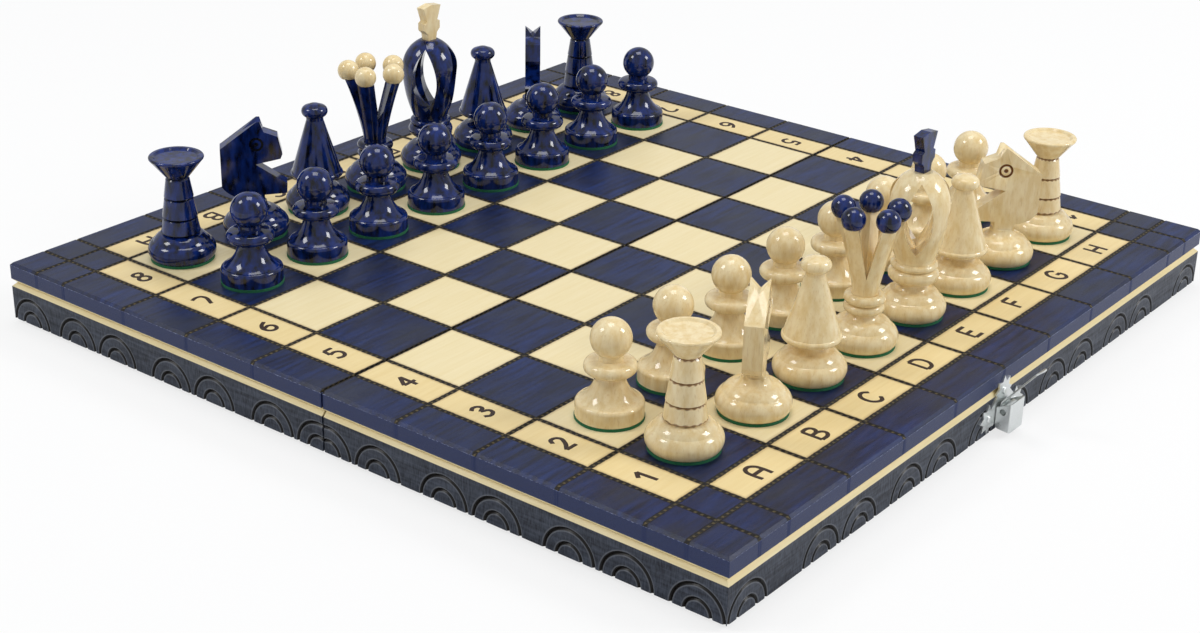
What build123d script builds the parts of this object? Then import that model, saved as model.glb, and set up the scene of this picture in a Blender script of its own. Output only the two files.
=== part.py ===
"""Folding chess box with its thirty-two turned wooden men.

Two shallow half boxes are hinged along the middle of the playing face. Opened
flat they lie on their rims as one board; folded, rim to rim, they make the box
that the men are kept in, held shut by a small toggle latch.

Millimetres. +Z is up, X runs along the files a to h, Y along the ranks 1 to 8.
The origin is on the fold line, in the middle, at the level of the rims.
"""

from build123d import *
import os
from math import atan2, cos, degrees, radians, sin, sqrt

os.makedirs("parts", exist_ok=True)

# ---------------------------------------------------------------- driving sizes
# Playing face
square = 31.5
label_strip = 14.5
border = 14.5
half_files = 4
line_width = 1.2
line_depth = 0.45

# Half boxes
box_height = 21.5
board_thickness = 7.65
rail_thickness = 8.5
fold_gap = 0.4
top_bevel = 0.9
stripe_chamfer = 1.45

# Carved arches along the rails
arch_outer = 9.2
arch_inner = 4.6
arch_cut_width = 1.3
arch_cut_depth = 0.7
arch_pair_spacing = 21.0
arch_pair_pitch = 48.5
arch_first_from_fold = 12.8
arch_corner_margin = 10.0

# Butt hinges under the fold
hinge_offset = 95.0
hinge_length = 24.0
knuckle_radius = 1.2
hinge_pin_radius = 0.6
leaf_thickness = 0.8
leaf_reach = 7.4
hinge_drop = 0.1
notch_clearance = 0.3
knuckle_side_gap = 0.15
pin_running_gap = 0.05
screw_spacing = 16.0
screw_from_fold = 4.7
screw_head_radius = 1.8
screw_shank_radius = 0.9
screw_length = 7.0
screw_slot_width = 0.5
screw_slot_depth = 0.3

# Toggle latch, set out from the front wall (out) and from the rims (up)
plate_thickness = 0.6
lobe_radius = 3.5
petal_size = 1.9
petals = 8
top_lobe_up = 13.1
side_lobe_up = 6.0
side_lobe_offset = 9.2
lever_pin_out = 2.3
lever_pin_up = 2.6
lever_pin_radius = 0.6
claw_pin_out = 3.3
claw_pin_up = 7.7
claw_pin_radius = 1.5
claw_pin_bore = 1.1
lever_width = 9.1
lever_out = 6.2
lever_low = 0.8
lever_high = 11.3
lever_back = 0.9
lever_back_high = 8.7
sheet = 0.6
cheek_gap = 0.15
ear_radius = 1.5
claw_width = 5.4
claw_thickness = 0.5
claw_rise = 1.3
claw_bend_radius = 2.5
claw_lean = 39.0
claw_straight = 15.0
claw_spoon_radius = 9.0
claw_spoon_turn = 22.0
claw_eye_length = 3.2
claw_eye_width = 2.0
claw_eye_back = 3.0
latch_running_gap = 0.06
nail_head_radius = 1.25
nail_head_height = 0.7
nail_shank_radius = 0.5
nail_length = 6.5

# Strike of the latch on the other half
strike_up = 9.0
strike_hook_width = 3.0
strike_hook_out = 2.4
strike_hook_rise = 2.6
strike_nail_offset = 6.4

# Men, set out from the playing face
felt_thickness = 1.0
felt_overhang = 0.15
glue_line = 0.02
man_foot_radius = 12.0
man_foot_height = 9.6
man_neck_radius = 4.5
pawn_foot_radius = 10.8
pawn_ball_radius = 6.5
pawn_height = 32.9
rook_cup_radius = 9.5
rook_height = 38.6
bishop_skirt_radius = 9.7
bishop_height = 41.6
knight_thickness = 6.2
knight_height = 43.5
knight_eye_radius = 2.4
knight_eye_cut = 0.3
queen_crown_radius = 11.6
queen_tine_top = 43.9
queen_tines = 5
queen_ball_radius = 4.05
queen_ball_circle = 9.4
queen_gap_width = 7.6
queen_gap_floor = 25.0
king_bulb_radius = 10.9
king_bulb_top = 51.8
king_window_width = 9.6
king_window_low = 24.5
king_window_high = 49.5
king_window_turn = 30.0
cross_height = 14.0
cross_half_width = 4.8
cross_thickness = 3.6

# ---------------------------------------------------------------- worked-out sizes
half_span = half_files * square + label_strip + border
half_depth = half_span - fold_gap
rail_height = box_height - board_thickness
first_file = -(half_files - 0.5) * square
sides = {"white": -1, "blue": 1}
hinge_places = [-hinge_offset, hinge_offset]
foot_low = felt_thickness + glue_line


def save(piece, name):
    """Label a finished piece and write it to its own file."""
    piece.part.label = name
    export_step(piece.part, f"parts/{name}.step")


def outer_edges(face):
    """The three edges of a half box's face that are not on the fold."""
    return face.edges().filter_by(lambda edge: abs(edge.center().Y) > 2 * fold_gap)


# ---------------------------------------------------------------- playing boards
def playing_board(side):
    """One half of the playing face, with the burned lines cut as fine V grooves."""
    across = [i * square for i in range(-half_files, half_files + 1)]
    across += [-half_files * square - label_strip, half_files * square + label_strip]
    along = [side * i * square for i in range(1, half_files + 1)]
    along.append(side * (half_files * square + label_strip))
    lip = line_depth / 2
    flare = line_width / 2 * (1 + lip / line_depth)
    groove = [(-flare, lip), (flare, lip), (0, -line_depth)]
    with BuildPart() as board:
        with BuildSketch(Plane.XY.offset(rail_height)):
            with Locations((0, side * (fold_gap + half_depth / 2))):
                Rectangle(2 * half_span, half_depth)
        extrude(amount=board_thickness)
        faces = board.faces().sort_by(Axis.Z)
        chamfer(outer_edges(faces[-1]), length=top_bevel)
        chamfer(outer_edges(board.faces().sort_by(Axis.Z)[0]), length=stripe_chamfer)
        with BuildSketch(Plane.XZ):
            with Locations([(x, box_height) for x in across]):
                Polygon(*groove, align=None)
        extrude(amount=2 * half_span, both=True, mode=Mode.SUBTRACT)
        with BuildSketch(Plane.YZ):
            with Locations([(y, box_height) for y in along]):
                Polygon(*groove, align=None)
        extrude(amount=2 * half_span, both=True, mode=Mode.SUBTRACT)
    return board


# ---------------------------------------------------------------- rails
def carve_arches(wall, places):
    """Cut pairs of concentric half-round V grooves that stand on the rim of a wall."""
    lip = arch_cut_depth / 2
    flare = arch_cut_width / 2 * (1 + lip / arch_cut_depth)
    for place in places:
        centre = wall.from_local_coords((place, 0, 0))
        flat = Plane(origin=centre, x_dir=wall.x_dir, z_dir=-wall.y_dir)
        with BuildSketch(flat) as cut:
            for radius in (arch_inner, arch_outer):
                with Locations((radius, 0)):
                    Polygon((-flare, lip), (flare, lip), (0, -arch_cut_depth), align=None)
        revolve(cut.sketch, axis=Axis(centre, wall.z_dir), mode=Mode.SUBTRACT)


def long_places():
    """Arch centres along the outer long rail: pairs about the middle, one at each corner."""
    pairs = [k * arch_pair_pitch for k in range(-2, 3)]
    places = [p + s * arch_pair_spacing / 2 for p in pairs for s in (-1, 1)]
    return places + [arch_corner_margin - half_span, half_span - arch_corner_margin]


def side_places():
    """Arch centres along a side rail, as distances from the fold."""
    pairs = [arch_first_from_fold + k * arch_pair_pitch for k in range(3)]
    places = [p + s * arch_pair_spacing / 2 for p in pairs for s in (-1, 1)]
    return places + [half_span - arch_corner_margin]


def long_rail(side, nails):
    """The outer long rail, mitred at both ends, with holes for the latch's nails."""
    inner = half_span - rail_thickness
    wall = Plane(origin=(0, side * half_span, 0), x_dir=(-side, 0, 0), z_dir=(0, side, 0))
    with BuildPart() as rail:
        with BuildSketch():
            Polygon(
                (-half_span, side * half_span),
                (half_span, side * half_span),
                (inner, side * inner),
                (-inner, side * inner),
                align=None,
            )
        extrude(amount=rail_height)
        top = rail.faces().sort_by(Axis.Z)[-1]
        chamfer(top.edges().sort_by(Axis.Y)[-1 if side > 0 else 0], length=stripe_chamfer)
        carve_arches(wall, long_places())
        with BuildSketch(wall):
            with Locations(nails):
                Circle(nail_shank_radius)
        extrude(amount=-nail_length, mode=Mode.SUBTRACT)
    return rail


def side_rail(side, hand):
    """A side rail, from its mitre with the long rail to the fold."""
    inner = half_span - rail_thickness
    wall = Plane(origin=(hand * half_span, 0, 0), x_dir=(0, hand, 0), z_dir=(hand, 0, 0))
    with BuildPart() as rail:
        with BuildSketch():
            Polygon(
                (hand * half_span, side * half_span),
                (hand * inner, side * inner),
                (hand * inner, side * fold_gap),
                (hand * half_span, side * fold_gap),
                align=None,
            )
        extrude(amount=rail_height)
        top = rail.faces().sort_by(Axis.Z)[-1]
        chamfer(top.edges().sort_by(Axis.X)[-1 if hand > 0 else 0], length=stripe_chamfer)
        carve_arches(wall, [hand * side * place for place in side_places()])
    return rail


def spine_rail(side):
    """The rail along the fold, housed out for the hinge leaves and their knuckles."""
    inner = half_span - rail_thickness
    housing = hinge_length + 2 * knuckle_side_gap
    with BuildPart() as rail:
        with BuildSketch():
            with Locations((0, side * (fold_gap + rail_thickness / 2))):
                Rectangle(2 * inner, rail_thickness)
        extrude(amount=rail_height)
        with BuildSketch():
            with Locations([(x, side * leaf_reach / 2) for x in hinge_places]):
                Rectangle(housing, leaf_reach)
        extrude(amount=leaf_thickness, mode=Mode.SUBTRACT)
        for x in hinge_places:
            with BuildSketch(Plane.YZ.offset(x)):
                with Locations((0, -hinge_drop)):
                    Circle(knuckle_radius + notch_clearance)
            extrude(amount=housing / 2, both=True, mode=Mode.SUBTRACT)
        with BuildSketch():
            with Locations(screw_places(side)):
                Circle(screw_shank_radius)
        extrude(amount=screw_length, mode=Mode.SUBTRACT)
    return rail


# ---------------------------------------------------------------- hinges
def screw_places(side):
    """Centres of the four leaf screws of one half, two to each hinge."""
    return [
        (x + hand * screw_spacing / 2, side * screw_from_fold)
        for x in hinge_places
        for hand in (-1, 1)
    ]


def hinge_leaves(side, outer_knuckles):
    """Both hinges' leaves on one half, with their share of the three knuckles."""
    third = hinge_length / 3
    clear = knuckle_radius + notch_clearance
    bore = hinge_pin_radius + (0 if outer_knuckles else pin_running_gap)
    own = [-third, third] if outer_knuckles else [0]
    others = [0] if outer_knuckles else [-third, third]
    own_length = third - knuckle_side_gap
    others_length = third + knuckle_side_gap
    with BuildPart() as leaves:
        for x in hinge_places:
            with BuildSketch():
                with Locations((x, side * leaf_reach / 2)):
                    Rectangle(hinge_length, leaf_reach)
                with Locations([(x + place, 0) for place in others]):
                    Rectangle(others_length, 2 * clear, mode=Mode.SUBTRACT)
            extrude(amount=leaf_thickness)
            for place in own:
                with BuildSketch(Plane.YZ.offset(x + place)):
                    with Locations((0, -hinge_drop)):
                        Circle(knuckle_radius)
                extrude(amount=own_length / 2, both=True)
        for x in hinge_places:
            with BuildSketch(Plane.YZ.offset(x)):
                with Locations((0, -hinge_drop)):
                    Circle(bore)
            extrude(amount=hinge_length, both=True, mode=Mode.SUBTRACT)
        with BuildSketch():
            with Locations(screw_places(side)):
                Circle(screw_head_radius)
        taper = degrees(atan2(screw_head_radius - screw_shank_radius, leaf_thickness))
        extrude(amount=leaf_thickness, taper=taper, mode=Mode.SUBTRACT)
    return leaves


def hinge_screws(side):
    """The countersunk screws that hold one half's leaves, driven from below."""
    taper = degrees(atan2(screw_head_radius - screw_shank_radius, leaf_thickness))
    with BuildPart() as screws:
        with BuildSketch():
            with Locations(screw_places(side)):
                Circle(screw_head_radius)
        extrude(amount=leaf_thickness, taper=taper)
        with BuildSketch(Plane.XY.offset(leaf_thickness)):
            with Locations(screw_places(side)):
                Circle(screw_shank_radius)
        extrude(amount=screw_length - leaf_thickness)
        with BuildSketch():
            with Locations(screw_places(side)):
                Rectangle(3 * screw_head_radius, screw_slot_width)
        extrude(amount=screw_slot_depth, mode=Mode.SUBTRACT)
    return screws


# ---------------------------------------------------------------- latch
def out_up(out, up):
    """A point of the latch's side view, on the plane through its middle."""
    return (-half_span - out, up)


def scalloped_face(wall, lobes, neck):
    """The outline of a thin pressed plate: leaf-edged lobes on a plain neck, with nail holes."""
    with BuildSketch(wall) as face:
        with Locations(lobes):
            Circle(lobe_radius)
            with PolarLocations(lobe_radius, petals):
                RegularPolygon(radius=petal_size, side_count=3)
        Polygon(*neck, align=None)
        with Locations(lobes):
            Circle(nail_shank_radius, mode=Mode.SUBTRACT)
    return face.sketch


def wall_nails(wall, places):
    """Round-headed nails through a plate into the rail."""
    with BuildPart() as nails:
        with BuildSketch(wall):
            with Locations(places):
                Circle(nail_shank_radius)
        extrude(amount=-nail_length)
        with BuildSketch(wall):
            with Locations(places):
                Circle(nail_shank_radius)
        extrude(amount=plate_thickness)
        with BuildSketch(wall.offset(plate_thickness)):
            with Locations(places):
                Circle(nail_head_radius)
        extrude(amount=nail_head_height)
        heads = nails.faces().filter_by(Plane.XZ).group_by(Axis(wall.origin, wall.z_dir))[-1]
        fillet(heads.edges(), radius=nail_head_height * 0.7)
    return nails


front_wall = Plane(origin=(0, -half_span, 0), x_dir=(1, 0, 0), z_dir=(0, -1, 0))
back_wall = Plane(origin=(0, half_span, 0), x_dir=(-1, 0, 0), z_dir=(0, 1, 0))
latch_nail_places = [
    (0, top_lobe_up),
    (-side_lobe_offset, side_lobe_up),
    (side_lobe_offset, side_lobe_up),
]
strike_nail_places = [(-strike_nail_offset, strike_up), (strike_nail_offset, strike_up)]
cheek_inside = lever_width / 2 - sheet
ear_outside = cheek_inside - cheek_gap

with BuildPart() as latch_plate:
    latch_outline = scalloped_face(
        front_wall,
        latch_nail_places,
        [
            (-side_lobe_offset, side_lobe_up - lobe_radius),
            (side_lobe_offset, side_lobe_up - lobe_radius),
            (side_lobe_offset, side_lobe_up + lobe_radius / 2),
            (lobe_radius, top_lobe_up),
            (-lobe_radius, top_lobe_up),
            (-side_lobe_offset, side_lobe_up + lobe_radius / 2),
        ],
    )
    extrude(latch_outline, amount=plate_thickness)
    for ear_side in (-1, 1):
        ear_plane = Plane.YZ.offset(ear_side * (ear_outside - sheet / 2))
        with BuildSketch(ear_plane):
            with Locations(out_up(lever_pin_out, lever_pin_up)):
                Circle(ear_radius)
            with Locations(out_up((plate_thickness + lever_pin_out) / 2, lever_pin_up)):
                Rectangle(lever_pin_out - plate_thickness, 2 * ear_radius)
            with Locations(out_up(lever_pin_out, lever_pin_up)):
                Circle(lever_pin_radius, mode=Mode.SUBTRACT)
        extrude(amount=sheet / 2, both=True)
save(latch_plate, "latch_plate")

with BuildPart() as latch_lever:
    with BuildSketch(Plane.YZ):
        with BuildLine():
            low_back = out_up(lever_back, lever_pin_up)
            low = out_up(lever_pin_out, lever_pin_up - (lever_pin_out - lever_back))
            Line(low_back, out_up(lever_back, lever_back_high))
            Line(out_up(lever_back, lever_back_high), out_up(lever_out, lever_high))
            Line(out_up(lever_out, lever_high), out_up(lever_out, lever_low))
            Line(out_up(lever_out, lever_low), low)
            RadiusArc(low, low_back, -(lever_pin_out - lever_back))
        make_face()
    extrude(amount=lever_width / 2, both=True)
    with BuildSketch():
        with Locations((0, -half_span - (lever_out - sheet) / 2)):
            Rectangle(2 * cheek_inside, lever_out - sheet)
    extrude(amount=2 * box_height, mode=Mode.SUBTRACT)
    with BuildSketch(Plane.YZ):
        with Locations(out_up(claw_pin_out, claw_pin_up)):
            Circle(claw_pin_radius)
        with Locations(out_up(lever_pin_out, lever_pin_up)):
            Circle(lever_pin_radius + latch_running_gap)
    extrude(amount=lever_width, both=True, mode=Mode.SUBTRACT)
    front_edges = latch_lever.edges().filter_by(Axis.Z).group_by(Axis.Y)[0]
    fillet(front_edges, radius=sheet)
save(latch_lever, "latch_lever")

with BuildPart() as latch_lever_pin:
    with BuildSketch(Plane.YZ):
        with Locations(out_up(lever_pin_out, lever_pin_up)):
            Circle(lever_pin_radius)
    extrude(amount=lever_width / 2 + sheet / 2, both=True)
save(latch_lever_pin, "latch_lever_pin")

with BuildPart() as latch_claw_pin:
    with BuildSketch(Plane.YZ):
        with Locations(out_up(claw_pin_out, claw_pin_up)):
            Circle(claw_pin_radius)
            Circle(claw_pin_bore, mode=Mode.SUBTRACT)
    extrude(amount=lever_width / 2 + sheet / 4, both=True)
save(latch_claw_pin, "latch_claw_pin")

# The claw: a strip curled round its hollow pin, that leans out over the lever and
# ends in a spoon with an eye for the strike's hook.
curl_radius = claw_pin_radius + latch_running_gap + claw_thickness / 2
claw_centre = out_up(claw_pin_out, claw_pin_up)
with BuildPart() as latch_claw:
    with BuildSketch(Plane.YZ):
        with BuildLine():
            curl = CenterArc(claw_centre, curl_radius, 0, -280)
            rise = Line(curl @ 0, curl @ 0 + Vector(0, claw_rise))
            bend = JernArc(rise @ 1, (0, 1), claw_bend_radius, claw_lean)
            strip = Line(bend @ 1, bend @ 1 + (bend % 1) * claw_straight)
            spoon = JernArc(strip @ 1, strip % 1, claw_spoon_radius, claw_spoon_turn)
        trace(line_width=claw_thickness)
    extrude(amount=claw_width / 2, both=True)
    end_edges = latch_claw.edges().filter_by(
        lambda edge: abs(edge.length - claw_thickness) < claw_thickness / 5
    )
    tip = Vector(0, (spoon @ 1).X, (spoon @ 1).Y)
    fillet(end_edges.sort_by_distance(tip)[:2], radius=claw_width * 0.45)
    eye_point = strip @ 1
    eye_along = strip % 1
    eye_plane = Plane(
        origin=(0, eye_point.X, eye_point.Y),
        x_dir=(1, 0, 0),
        z_dir=(0, -eye_along.Y, eye_along.X),
    )
    with BuildSketch(eye_plane):
        RectangleRounded(claw_eye_length, claw_eye_width, claw_eye_width / 4)
    extrude(amount=claw_eye_back, both=True, mode=Mode.SUBTRACT)
save(latch_claw, "latch_claw")

latch_nails = wall_nails(front_wall, latch_nail_places)
save(latch_nails, "latch_nails")

with BuildPart() as strike_plate:
    strike_outline = scalloped_face(
        back_wall,
        strike_nail_places,
        [
            (-strike_nail_offset, strike_up - lobe_radius * 0.8),
            (strike_nail_offset, strike_up - lobe_radius * 0.8),
            (strike_nail_offset, strike_up + lobe_radius * 0.8),
            (-strike_nail_offset, strike_up + lobe_radius * 0.8),
        ],
    )
    extrude(strike_outline, amount=plate_thickness)
    with BuildSketch(Plane.YZ):
        with Locations((half_span + plate_thickness, strike_up)):
            Rectangle(strike_hook_out, sheet, align=(Align.MIN, Align.CENTER))
        with Locations((half_span + plate_thickness + strike_hook_out, strike_up - sheet / 2)):
            Rectangle(sheet, strike_hook_rise, align=(Align.MAX, Align.MIN))
    extrude(amount=strike_hook_width / 2, both=True)
save(strike_plate, "strike_plate")

strike_nails = wall_nails(back_wall, strike_nail_places)
save(strike_nails, "strike_nails")


# ---------------------------------------------------------------- half boxes
for colour, side in sides.items():
    save(playing_board(side), f"{colour}_playing_board")
    save(long_rail(side, latch_nail_places if side < 0 else strike_nail_places),
         f"{colour}_outer_rail")
    save(side_rail(side, -1), f"{colour}_side_rail_a")
    save(side_rail(side, 1), f"{colour}_side_rail_h")
    save(spine_rail(side), f"{colour}_spine_rail")
    save(hinge_leaves(side, outer_knuckles=side < 0), f"hinge_leaves_{colour}")
    save(hinge_screws(side), f"hinge_screws_{colour}")

with BuildPart() as hinge_pins:
    for hinge_x in hinge_places:
        with BuildSketch(Plane.YZ.offset(hinge_x)):
            with Locations((0, -hinge_drop)):
                Circle(hinge_pin_radius)
        extrude(amount=hinge_length / 2, both=True)
save(hinge_pins, "hinge_pins")


# ---------------------------------------------------------------- men
def foot_outline():
    """The domed foot that every man but the pawn stands on; returns its last point."""
    waist = (man_neck_radius + 3, man_foot_height)
    low = (man_foot_radius - 0.9, foot_low)
    high = (man_foot_radius - 2.0, man_foot_height - 2.4)
    Line((0, foot_low), low)
    ThreePointArc(low, (man_foot_radius, foot_low + 3.2), high)
    ThreePointArc(high, (man_foot_radius - 3.2, man_foot_height - 0.9), waist)
    return waist


with BuildPart() as pawn:
    with BuildSketch(Plane.XZ):
        with BuildLine():
            edge = pawn_foot_radius
            ball_centre = pawn_height - pawn_ball_radius
            neck = 4.0
            ball_start = ball_centre - sqrt(pawn_ball_radius**2 - neck**2)
            Polyline((0, foot_low), (edge, foot_low), (edge, 5.0))
            ThreePointArc((edge, 5.0), (edge - 0.4, 5.9), (edge - 1.2, 6.3))
            ThreePointArc((edge - 1.2, 6.3), (6.4, 9.4), (4.6, 14.0))
            Polyline((4.6, 14.0), (4.6, 15.2), (6.6, 15.2))
            ThreePointArc((6.6, 15.2), (8.35, 17.2), (6.6, 19.2))
            Polyline((6.6, 19.2), (neck, 19.6), (neck, ball_start))
            ThreePointArc((neck, ball_start), (pawn_ball_radius, ball_centre), (0, pawn_height))
            Line((0, pawn_height), (0, foot_low))
        make_face()
    revolve(axis=Axis.Z)

with BuildPart() as rook:
    with BuildSketch(Plane.XZ):
        with BuildLine():
            waist = foot_outline()
            cup = rook_cup_radius
            top = rook_height
            Polyline(waist, (6.2, 9.9), (6.9, 10.5), (6.1, 15.3), (5.5, 15.8), (6.2, 16.3),
                     (5.2, 22.6), (4.6, 23.1), (5.2, 23.6), (4.2, 30.0), (3.7, 30.6),
                     (4.3, 31.1))
            Line((4.3, 31.1), (cup, top - 1.0))
            ThreePointArc((cup, top - 1.0), (cup + 0.1, top - 0.4), (cup - 0.4, top))
            Polyline((cup - 0.4, top), (cup - 1.4, top), (cup - 2.2, top - 0.7), (0, top - 0.9),
                     (0, foot_low))
        make_face()
    revolve(axis=Axis.Z)

with BuildPart() as bishop:
    with BuildSketch(Plane.XZ):
        with BuildLine():
            waist = foot_outline()
            skirt = bishop_skirt_radius
            top = bishop_height
            Line(waist, (6.0, 9.9))
            ThreePointArc((6.0, 9.9), (4.8, 11.2), (man_neck_radius, 13.0))
            Line((man_neck_radius, 13.0), (skirt - 1.2, 13.4))
            ThreePointArc((skirt - 1.2, 13.4), (skirt, 14.3), (skirt - 0.5, 15.6))
            Line((skirt - 0.5, 15.6), (3.2, top - 6.3))
            Line((3.2, top - 6.3), (3.2, top - 5.0))
            ThreePointArc((3.2, top - 5.0), (4.9, top - 2.9), (3.2, top - 0.8))
            Polyline((3.2, top - 0.8), (1.7, top - 0.2), (0, top))
            Line((0, top), (0, foot_low))
        make_face()
    revolve(axis=Axis.Z)

with BuildPart() as queen:
    with BuildSketch(Plane.XZ):
        with BuildLine():
            waist = foot_outline()
            top = queen_tine_top
            Line(waist, (6.0, 9.9))
            ThreePointArc((6.0, 9.9), (4.6, 11.2), (4.3, 12.6))
            ThreePointArc((4.3, 12.6), (6.8, 14.0), (5.2, 15.4))
            ThreePointArc((5.2, 15.4), (6.9, 16.9), (4.2, 18.4))
            Line((4.2, 18.4), (4.2, 19.4))
            ThreePointArc((4.2, 19.4), (6.3, 29.0), (queen_crown_radius - 0.6, top))
            Polyline((queen_crown_radius - 0.6, top), (0, top), (0, foot_low))
        make_face()
    revolve(axis=Axis.Z)
    for k in range(queen_tines):
        turn = 360 / queen_tines * (k + 0.5)
        gap_plane = Plane(
            origin=(0, 0, 0),
            x_dir=(-sin(radians(turn)), cos(radians(turn)), 0),
            z_dir=(cos(radians(turn)), sin(radians(turn)), 0),
        )
        with BuildSketch(gap_plane):
            reach = queen_gap_width / 2
            Polygon((0, queen_gap_floor), (reach, top + 0.1), (-reach, top + 0.1), align=None)
        extrude(amount=2 * queen_crown_radius, mode=Mode.SUBTRACT)

# A ball sits with a small flat on each tine.
ball_flat = 2.9
ball_rise = sqrt(queen_ball_radius**2 - ball_flat**2)
with BuildPart() as queen_ball:
    with BuildSketch(Plane.XZ):
        with BuildLine():
            low = (ball_flat, queen_tine_top)
            middle = (queen_ball_radius, queen_tine_top + ball_rise)
            high = (0, queen_tine_top + ball_rise + queen_ball_radius)
            ThreePointArc(low, middle, high)
            Polyline(high, (0, queen_tine_top), low)
        make_face()
    revolve(axis=Axis.Z)

with BuildPart() as king:
    with BuildSketch(Plane.XZ):
        with BuildLine():
            waist = foot_outline()
            bulb = king_bulb_radius
            top = king_bulb_top
            Line(waist, (6.0, 9.9))
            ThreePointArc((6.0, 9.9), (4.9, 11.4), (5.0, 13.4))
            ThreePointArc((5.0, 13.4), (8.7, 15.6), (7.0, 17.6))
            ThreePointArc((7.0, 17.6), (8.0, 18.8), (6.6, 20.0))
            Line((6.6, 20.0), (6.8, 21.2))
            ThreePointArc((6.8, 21.2), (9.6, 30.0), (bulb, 38.5))
            ThreePointArc((bulb, 38.5), (9.2, 46.6), (3.6, top))
            Polyline((3.6, top), (0, top), (0, foot_low))
        make_face()
    revolve(axis=Axis.Z)
    middle_up = (king_window_low + king_window_high) / 2
    for quarter in (0, 90):
        turn = king_window_turn + quarter
        window_plane = Plane(
            origin=(0, 0, 0),
            x_dir=(-sin(radians(turn)), cos(radians(turn)), 0),
            z_dir=(cos(radians(turn)), sin(radians(turn)), 0),
        )
        with BuildSketch(window_plane):
            with BuildLine():
                low = (0, king_window_low)
                high = (0, king_window_high)
                ThreePointArc(low, (king_window_width / 2, middle_up), high)
                ThreePointArc(high, (-king_window_width / 2, middle_up), low)
            make_face()
        extrude(amount=2 * king_bulb_radius, both=True, mode=Mode.SUBTRACT)

with BuildPart() as cross:
    with BuildSketch(Plane.XZ.offset(-cross_thickness / 2)):
        with BuildLine():
            wide = cross_half_width
            foot = king_bulb_top
            right = Polyline(
                (0, foot),
                (2.1, foot),
                (2.5, foot + 2.6),
                (wide - 0.6, foot + 4.2),
                (wide - 0.6, foot + 7.0),
                (2.9, foot + 7.7),
                (wide, foot + cross_height - 0.8),
                (0, foot + cross_height),
            )
            mirror(right, about=Plane.YZ)
        make_face()
    extrude(amount=cross_thickness)

with BuildPart() as knight:
    with BuildSketch(Plane.XZ):
        with BuildLine():
            waist = foot_outline()
            Line(waist, (6.0, 9.9))
            ThreePointArc((6.0, 9.9), (4.6, 11.0), (4.2, 12.6))
            Polyline((4.2, 12.6), (0, 12.6), (0, foot_low))
        make_face()
    revolve(axis=Axis.Z)
    with BuildSketch(Plane.XZ.offset(-knight_thickness / 2)):
        with BuildLine():
            top = knight_height
            stem = (-3.6, 14.6)
            back = (-11.6, 19.2)
            Polyline(
                stem,
                (-3.6, 12.0),
                (3.6, 12.0),
                (3.6, 15.6),
                (11.7, 16.0),
                (11.9, 19.6),
                (0.8, 27.4),
                (9.8, 29.2),
                (10.6, 31.0),
                (9.2, 37.6),
                (4.2, 39.6),
                (3.0, top),
                (1.8, top),
                (-11.6, 33.6),
                back,
            )
            ThreePointArc(back, (-8.4, 16.0), stem)
        make_face()
    extrude(amount=knight_thickness)
    with BuildSketch(Plane.YZ):
        Polygon((-knight_thickness, top + 4.2), (0, top - 3.8), (knight_thickness, top + 4.2),
                align=None)
    extrude(amount=2 * man_foot_radius, both=True, mode=Mode.SUBTRACT)
    for face_side in (-1, 1):
        with BuildSketch(Plane.XZ.offset(face_side * (knight_thickness / 2 - knight_eye_cut))):
            with Locations((1.4, 35.0)):
                Circle(knight_eye_radius)
                Circle(knight_eye_radius - 0.5, mode=Mode.SUBTRACT)
                Circle(0.5)
        extrude(amount=face_side * 2 * knight_eye_cut, mode=Mode.SUBTRACT)

# Men stand at the middle of their squares; two rooks stand a little off it.
turned_men = {"rook": rook, "knight": knight, "bishop": bishop, "queen": queen, "king": king}
back_row = ["rook", "knight", "bishop", "queen", "king", "bishop", "knight", "rook"]
knight_turns = {"white_b": 180, "white_g": 90, "blue_b": -42, "blue_g": 220}
rook_slips = {"white_a": (-1.6, 2.1), "blue_a": (-1.9, 2.4)}
queen_turns = {"white": 31, "blue": -10}


def stand(man, foot_radius, place, turn):
    """A man of its own on a square, with its felt pad under it."""
    with BuildPart() as piece:
        with Locations(Location(place, (0, 0, turn))):
            add(man.part)
        with BuildSketch(Plane.XY.offset(place[2])):
            with Locations(place[:2]):
                Circle(foot_radius + felt_overhang)
        extrude(amount=felt_thickness)
    return piece


for colour, side in sides.items():
    for index, file_name in enumerate("abcdefgh"):
        file_x = first_file + index * square
        key = f"{colour}_{file_name}"
        pawn_place = (file_x, side * (half_files - 1.5) * square, box_height)
        save(stand(pawn, pawn_foot_radius, pawn_place, 0), f"{colour}_pawn_{file_name}")

        kind = back_row[index]
        slip_x, slip_y = rook_slips.get(key, (0, 0))
        place = (file_x + slip_x, side * (half_files - 0.5) * square + slip_y, box_height)
        turn = knight_turns.get(key, 0)
        if kind == "queen":
            turn = queen_turns[colour]
            with BuildPart() as balls:
                with Locations(Location(place, (0, 0, turn))):
                    with PolarLocations(queen_ball_circle, queen_tines):
                        add(queen_ball.part)
            save(balls, f"{colour}_queen_balls")
        if kind == "king":
            with BuildPart() as finial:
                with Locations(place):
                    add(cross.part)
            save(finial, f"{colour}_king_cross")
        single = kind in ("queen", "king")
        name = f"{colour}_{kind}" if single else f"{colour}_{kind}_{file_name}"
        save(stand(turned_men[kind], man_foot_radius - 0.9, place, turn), name)
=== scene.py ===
"""Looks of the folding chess box: stained and burned wood, turned men, nickelled latch.

Metres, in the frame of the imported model: +Z is up, X runs along the files a to h,
Y along the ranks 1 to 8. Patterns are worked out in millimetres from Object
coordinates, so that they stay on the wood whatever the pose.
"""

from math import pi, radians

import bpy
from mathutils import Matrix, Vector


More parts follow.
